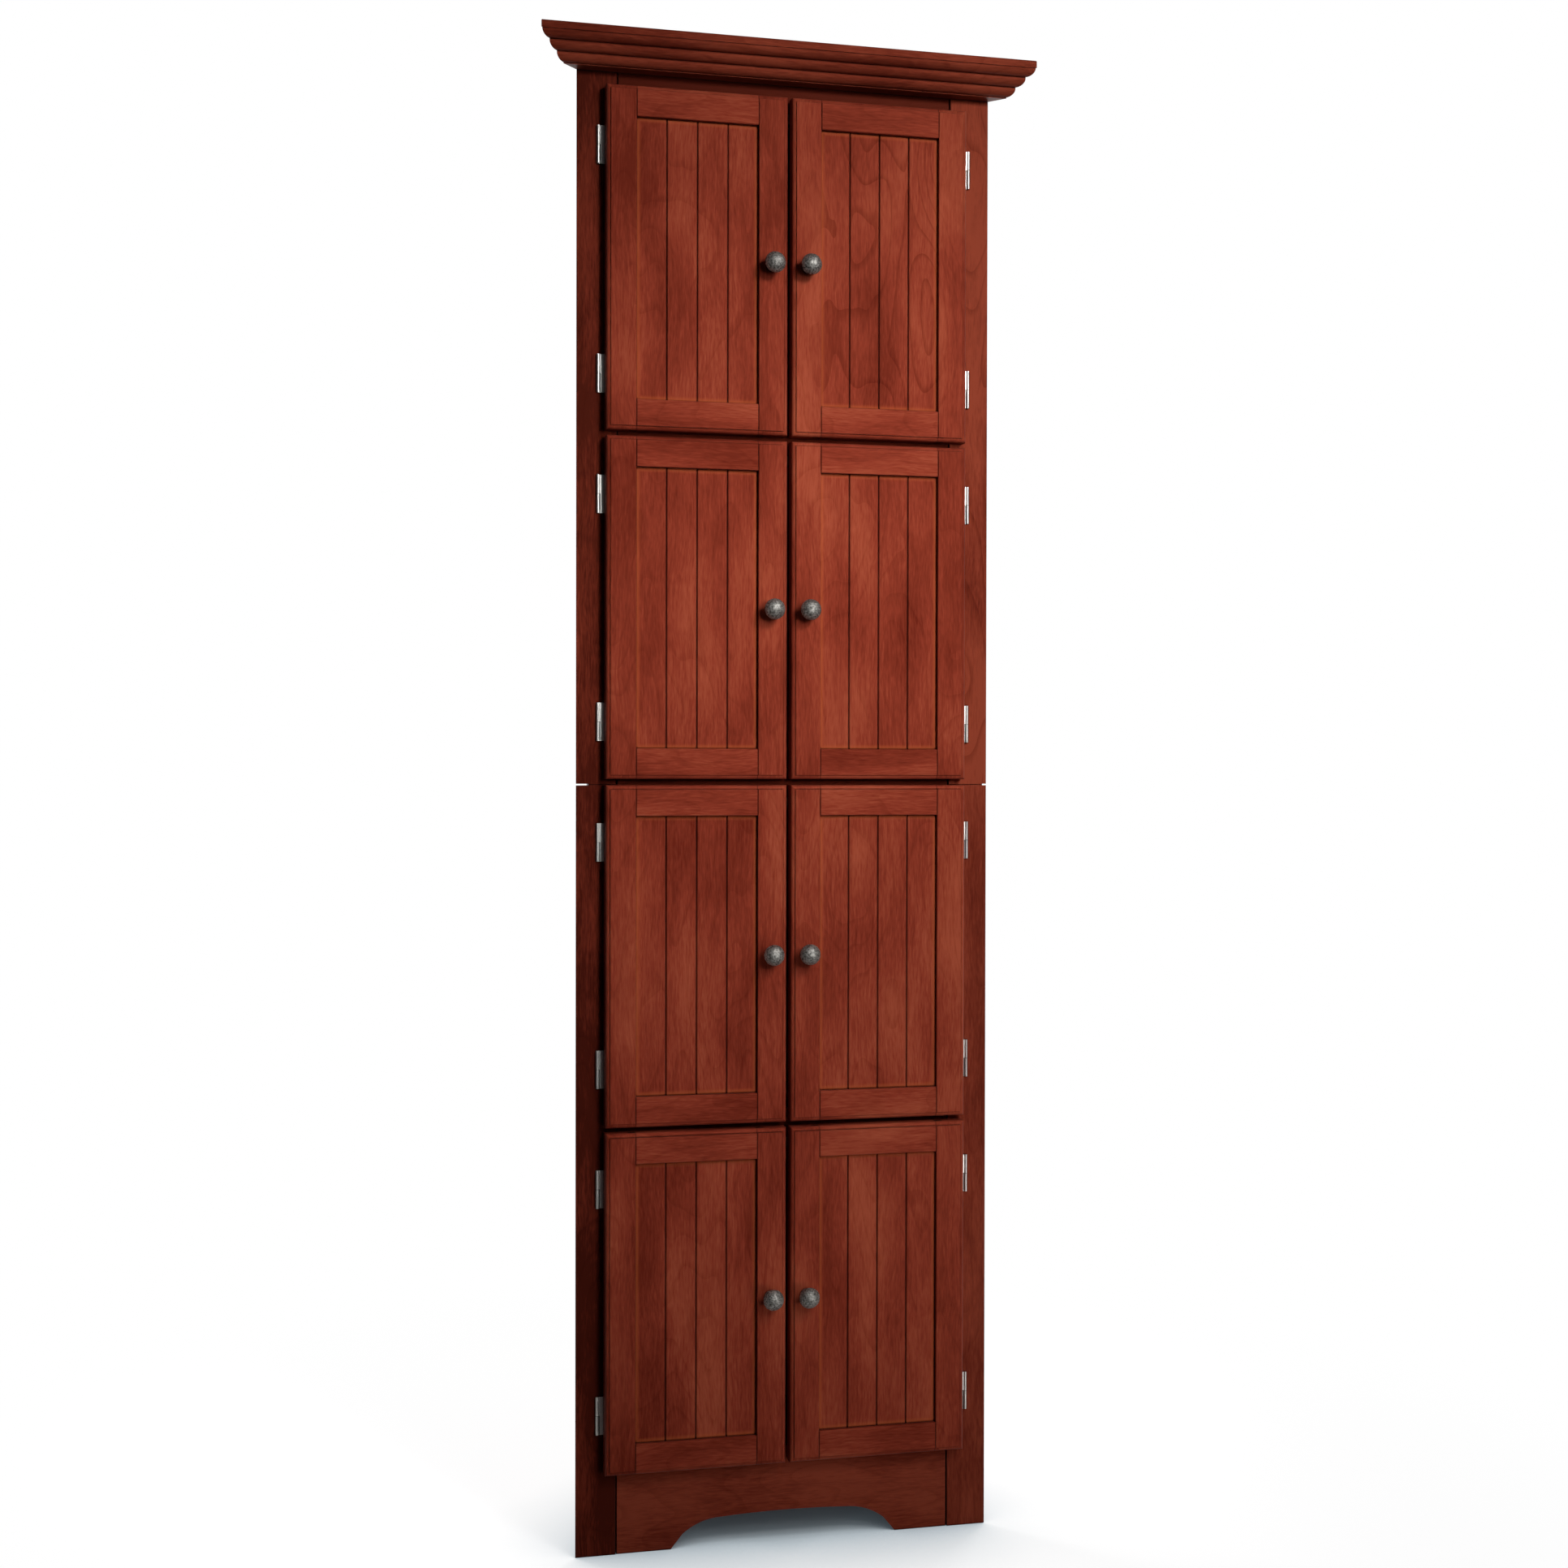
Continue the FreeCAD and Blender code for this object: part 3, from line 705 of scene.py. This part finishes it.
@dataclass
class Case:
    """Face frames, sides, boards and crown of both units.

    Attributes:
        nodes: Nodes of the frame by name.
        units: Names of the two stacked units.
        left_stile_shade: Painted shade on the left stiles, as a shift of the stain's tone.
        right_stile_shade: Painted light on the right stiles, in the same way.
        rail_shade: Painted shade on the rails behind the doors.
        toe_painted_light: Painted light on the toe board.
        crown_painted_light: Painted light on the crown.
    """

    nodes: Nodes
    units: tuple[str, str] = ("upper", "lower")
    left_stile_shade: float = -0.12
    right_stile_shade: float = 0.07
    rail_shade: float = -0.25
    toe_painted_light: float = 0.08
    crown_painted_light: float = 0.05

    def dress(self, finishes: Finishes) -> None:
        """Dress the fixed woodwork, with the grain along each board."""
        for unit in self.units:
            for side in Side:
                # Painted light and shade: the stiles' tone is shifted darker on the left and lighter on the
                # right.
                shade = self.left_stile_shade if side is Side.LEFT else self.right_stile_shade
                rings = Rings.LIVELY if (unit, side) == ("upper", Side.RIGHT) else Rings.PLAIN
                dress(self.nodes, f"{unit}_{side.value}_stile", finishes.upright_frame, rings, shade)
                dress(self.nodes, f"{unit}_{side.value}_side", finishes.upright_case)
            dress(self.nodes, f"{unit}_rails", finishes.level_frame, shade=self.rail_shade)
            dress(self.nodes, f"{unit}_shelf_boards", finishes.level_case)
        dress(self.nodes, "arched_toe_board", finishes.level_frame, shade=self.toe_painted_light)
        dress(self.nodes, "crown_moulding", finishes.level_frame, shade=self.crown_painted_light)
        dress(self.nodes, "top_board", finishes.level_case)
        dress(self.nodes, "stacking_dowels", finishes.beech)


@dataclass
class Fittings:
    """Hinge halves, screws and catches that stay on the cabinet."""

    nodes: Nodes

    def dress(self, finishes: Finishes) -> None:
        """Dress the fixed fittings."""
        for name in ("frame_hinge_leaves", "hinge_pins", "frame_screws"):
            dress(self.nodes, name, finishes.nickel)
        dress(self.nodes, "magnetic_catches", finishes.plastic)


@dataclass
class Door:
    """One framed plank door with its knob and its half of the hinges.

    Attributes:
        nodes: Nodes of the frame by name.
        row: Row of the door, counted from the top.
        side: Hand of the door.
    """

    nodes: Nodes
    row: int
    side: Side

    @property
    def body(self) -> str:
        """Give the name of the door's moving body."""
        return f"door_{self.row}_{self.side.value}"

    def dress(self, finishes: Finishes) -> None:
        """Dress the door's pieces."""
        swirled = self.side is Side.RIGHT and self.row == DOOR_ROWS[0]
        dress(self.nodes, f"{self.body}_stiles", finishes.upright_door)
        dress(self.nodes, f"{self.body}_rails", finishes.level_door)
        dress(self.nodes, f"{self.body}_panel", finishes.planks, Rings.SWIRLED if swirled else Rings.PLAIN)
        dress(self.nodes, f"{self.body}_knob", finishes.pewter)
        dress(self.nodes, f"{self.body}_hardware", finishes.nickel)


@dataclass
class Softbox:
    """Soft lamp of the studio.

    Attributes:
        name: Name of the lamp.
        place: Middle of the lamp, in metres.
        target: Point that it faces, in metres.
        size: Width and height of the lamp, in metres.
        watts: Power of the lamp.
        spread_deg: Angle over which its light spreads.
    """

    name: str
    place: Place
    target: Place
    size: Span
    watts: float
    spread_deg: float = 180.0

    def build(self) -> None:
        """Build the lamp."""
        data = bpy.data.lights.new(self.name, "AREA")
        data.shape = "RECTANGLE"
        data.size, data.size_y = self.size
        data.energy = self.watts
        data.spread = math.radians(self.spread_deg)
        lamp = bpy.data.objects.new(self.name, data)
        aim = Vector(self.target) - Vector(self.place)
        lamp.location = self.place
        lamp.rotation_euler = aim.to_track_quat("-Z", "Y").to_euler()
        lamp.visible_camera = False
        bpy.context.scene.collection.objects.link(lamp)
        LOG.info("lit %s", self.name)


# The softboxes each light a stretch of the doors, and the fill lights all of the front.
FRONT_LIGHTS = (
    Softbox(
        name="high softbox",
        place=(0.75, -2.05, 2.25),
        target=(0.0, -0.1, 1.25),
        size=(0.5, 0.5),
        watts=4.8,
        spread_deg=70.0,
    ),
    Softbox(
        name="middle softbox",
        place=(0.5, -2.15, 1.4),
        target=(0.0, -0.1, 1.05),
        size=(0.5, 0.5),
        watts=2.0,
        spread_deg=60.0,
    ),
    Softbox(
        name="low softbox",
        place=(0.65, -1.25, 0.1),
        target=(0.05, -0.1, 0.3),
        size=(0.6, 0.3),
        watts=0.75,
        spread_deg=70.0,
    ),
    Softbox(
        name="front fill",
        place=(-0.9, -2.7, 1.5),
        target=(0.0, -0.1, 0.9),
        size=(1.2, 1.2),
        watts=0.6,
    ),
)

# Without these, the sides along the walls are nearly black when they are seen from behind.
BACK_LIGHTS = tuple(
    Softbox(
        name=f"{side.value} back light",
        place=(x, 1.9, 1.6),
        target=(0.0, 0.0, 0.9),
        size=(0.8, 1.2),
        watts=9.0,
        spread_deg=100.0,
    )
    for side, x in ((Side.LEFT, -1.6), (Side.RIGHT, 1.6))
)


@dataclass
class Studio:
    """Pale floor, white surroundings, soft lamps and the camera of the photograph.

    Attributes:
        floor_half: Half of the floor's width, in metres like the floor's other sizes.
        floor_drop: How far the floor lies under the cabinet.
        floor_span: Distance at which the lit floor begins to turn plain white, and at which it is white.
        floor_behind: Depth at which the floor begins to count as behind the cabinet, and at which it does.
        floor_glow: Light that the floor shows to the camera by itself.
        floor_white: Colour of the floor as it is seen.
        floor_bounce: Colour of the floor as it lights the cabinet.
        contact_mm: How near the cabinet its contact shadow begins.
        contact_samples: Number of directions that are tried for it.
        contact_shadow: Openness and colour of each step of that shadow.
        ambient: Light of the room in front of the cabinet.
        ambient_colour: Its colour.
        world_behind: Direction at which the room begins to count as behind it, and at which it does.
        camera_place_mm: Place of the camera, with its depth counted from the face of the frame.
        camera_yaw_deg: Turn of the camera to the right.
        camera_pitch_deg: Tilt of the camera upwards.
        camera_roll_deg: Roll of the camera.
        camera_focal_pixels: Focal length in pixels of the photograph.
        camera_reach: How far the camera sees, in metres.
    """

    floor_half: float = 6.0
    floor_drop: float = 0.0003
    floor_span: Span = (0.45, 1.3)
    floor_behind: Span = (-0.4, 0.0)
    floor_glow: float = 0.86
    floor_white: str = "a6a6a6"
    floor_bounce: str = "707070"
    contact_mm: float = 220.0
    contact_samples: int = 16
    contact_shadow: Stops = (
        (0.0, "1e1e21"),
        (0.25, "59656c"),
        (0.5, "b3bfc6"),
        (0.75, "e6eaec"),
        (0.95, "ffffff"),
    )
    ambient: float = 0.03
    ambient_colour: str = "cfdcea"
    world_behind: Span = (-0.1, 0.4)
    camera_place_mm: Place = (-583.0, -2467.0, 957.5)
    camera_yaw_deg: float = 13.25
    camera_pitch_deg: float = -0.55
    camera_roll_deg: float = 0.11
    camera_focal_pixels: float = 2539.0
    camera_reach: float = 50.0

    def build(self) -> None:
        """Build the studio."""
        self._floor()
        self._world()
        self._camera()
        for lamp in FRONT_LIGHTS + BACK_LIGHTS:
            lamp.build()

    def _floor(self) -> None:
        """Build the floor under the cabinet."""
        half = self.floor_half
        corners = [(-half, -half), (half, -half), (half, half), (-half, half)]
        mesh = bpy.data.meshes.new("studio floor")
        mesh.from_pydata([(x, y, -self.floor_drop) for x, y in corners], [], [range(len(corners))])
        floor = bpy.data.objects.new("studio_floor", mesh)
        bpy.context.scene.collection.objects.link(floor)
        mesh.materials.append(self._paper())
        LOG.info("laid %s", floor.name)

    def _paper(self) -> bpy.types.Material:
        """Build the floor's paper: lit and shadowed near the cabinet, plain white further off."""
        material, tree = new_material("white paper floor")
        place = add_node(tree, "TexCoord").outputs["Object"]
        distance = add_node(tree, "VectorMath", {"operation": "LENGTH"}, {0: place}).outputs["Value"]
        depth = add_node(tree, "SeparateXYZ", inputs={0: place}).outputs["Y"]
        seen = self._seen(tree, ease(tree, depth, *self.floor_behind))
        shade = mix(tree, seen, linear(self.floor_bounce), linear(self.floor_white))
        paper = add_node(tree, "BsdfDiffuse", inputs={"Color": shade})
        contact = ramp(tree, openness(tree, self.contact_mm, self.contact_samples), self.contact_shadow)
        strength = calculate(tree, "MULTIPLY", seen, self.floor_glow)
        glow = add_node(tree, "Emission", inputs={"Color": contact, "Strength": strength})
        lit = add_node(tree, "AddShader", inputs={0: paper.outputs[0], 1: glow.outputs[0]})
        white = add_node(tree, "Emission", inputs={"Strength": 1.0})
        off = calculate(tree, "MULTIPLY", ease(tree, distance, *self.floor_span), seen)
        surface = add_node(tree, "MixShader", inputs={0: off, 1: lit.outputs[0], 2: white.outputs[0]})
        add_node(tree, "OutputMaterial", inputs={"Surface": surface.outputs[0]})
        return material

    def _seen(self, tree: Tree, behind: Socket) -> Socket:
        """Tell rays that show the surroundings from rays that light the object.

        Args:
            tree: Node tree of the floor or the world.
            behind: One behind the cabinet, zero in the dim room in front of it.

        Returns:
            One for camera rays, and for glossy and transmission rays that end behind the cabinet.
        """
        path = add_node(tree, "LightPath").outputs
        mirrored = calculate(tree, "MAXIMUM", path["Is Glossy Ray"], path["Is Transmission Ray"])
        backdrop = calculate(tree, "MULTIPLY", mirrored, behind)
        return calculate(tree, "MAXIMUM", backdrop, path["Is Camera Ray"])

    def _world(self) -> None:
        """Build the surroundings: white to the camera and behind the cabinet, a dim room in front of it."""
        world = bpy.data.worlds.new("studio")
        world.use_nodes = True
        tree = world.node_tree
        tree.nodes.clear()
        toward = add_node(tree, "SeparateXYZ", inputs={0: add_node(tree, "TexCoord").outputs["Generated"]})
        seen = self._seen(tree, ease(tree, toward.outputs["Y"], *self.world_behind))
        room = {"Color": linear(self.ambient_colour), "Strength": self.ambient}
        dim = add_node(tree, "Background", inputs=room)
        white = add_node(tree, "Background", inputs={"Color": linear("ffffff"), "Strength": 1.0})
        mixed = add_node(tree, "MixShader", inputs={0: seen, 1: dim.outputs[0], 2: white.outputs[0]})
        add_node(tree, "OutputWorld", inputs={"Surface": mixed.outputs[0]})
        bpy.context.scene.world = world

    def _camera(self) -> None:
        """Set the camera where the photograph was taken."""
        yaw = math.radians(self.camera_yaw_deg)
        pitch = math.radians(self.camera_pitch_deg)
        ahead = Vector((math.sin(yaw) * math.cos(pitch), math.cos(yaw) * math.cos(pitch), math.sin(pitch)))
        roll = Matrix.Rotation(-math.radians(self.camera_roll_deg), 3, ahead)
        right = roll @ Vector((math.cos(yaw), -math.sin(yaw), 0.0))
        above = right.cross(ahead)
        x, y, z = self.camera_place_mm
        place = Vector((x, y + FRAME_FACE_Y_MM, z)) / MM_PER_METRE
        data = bpy.data.cameras.new("photo camera")
        data.sensor_width = SENSOR_MM
        data.lens = SENSOR_MM * self.camera_focal_pixels / IMAGE_PIXELS
        data.clip_end = self.camera_reach
        camera = bpy.data.objects.new("photo_camera", data)
        turn = Matrix((right, above, -ahead)).transposed()
        camera.matrix_world = Matrix.Translation(place) @ turn.to_4x4()
        bpy.context.scene.collection.objects.link(camera)
        bpy.context.scene.camera = camera


def main() -> None:
    """Dress the cabinet and set the studio."""
    logging.basicConfig(level=logging.INFO, format="%(message)s")
    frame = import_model()
    bpy.context.scene.view_settings.view_transform = "Standard"
    nodes = frame["nodes"]
    finishes = Finishes(nodes)
    Case(nodes).dress(finishes)
    Fittings(nodes).dress(finishes)
    for row in DOOR_ROWS:
        for side in Side:
            Door(nodes, row, side).dress(finishes)
    Studio().build()


if __name__ == "__main__":
    main()
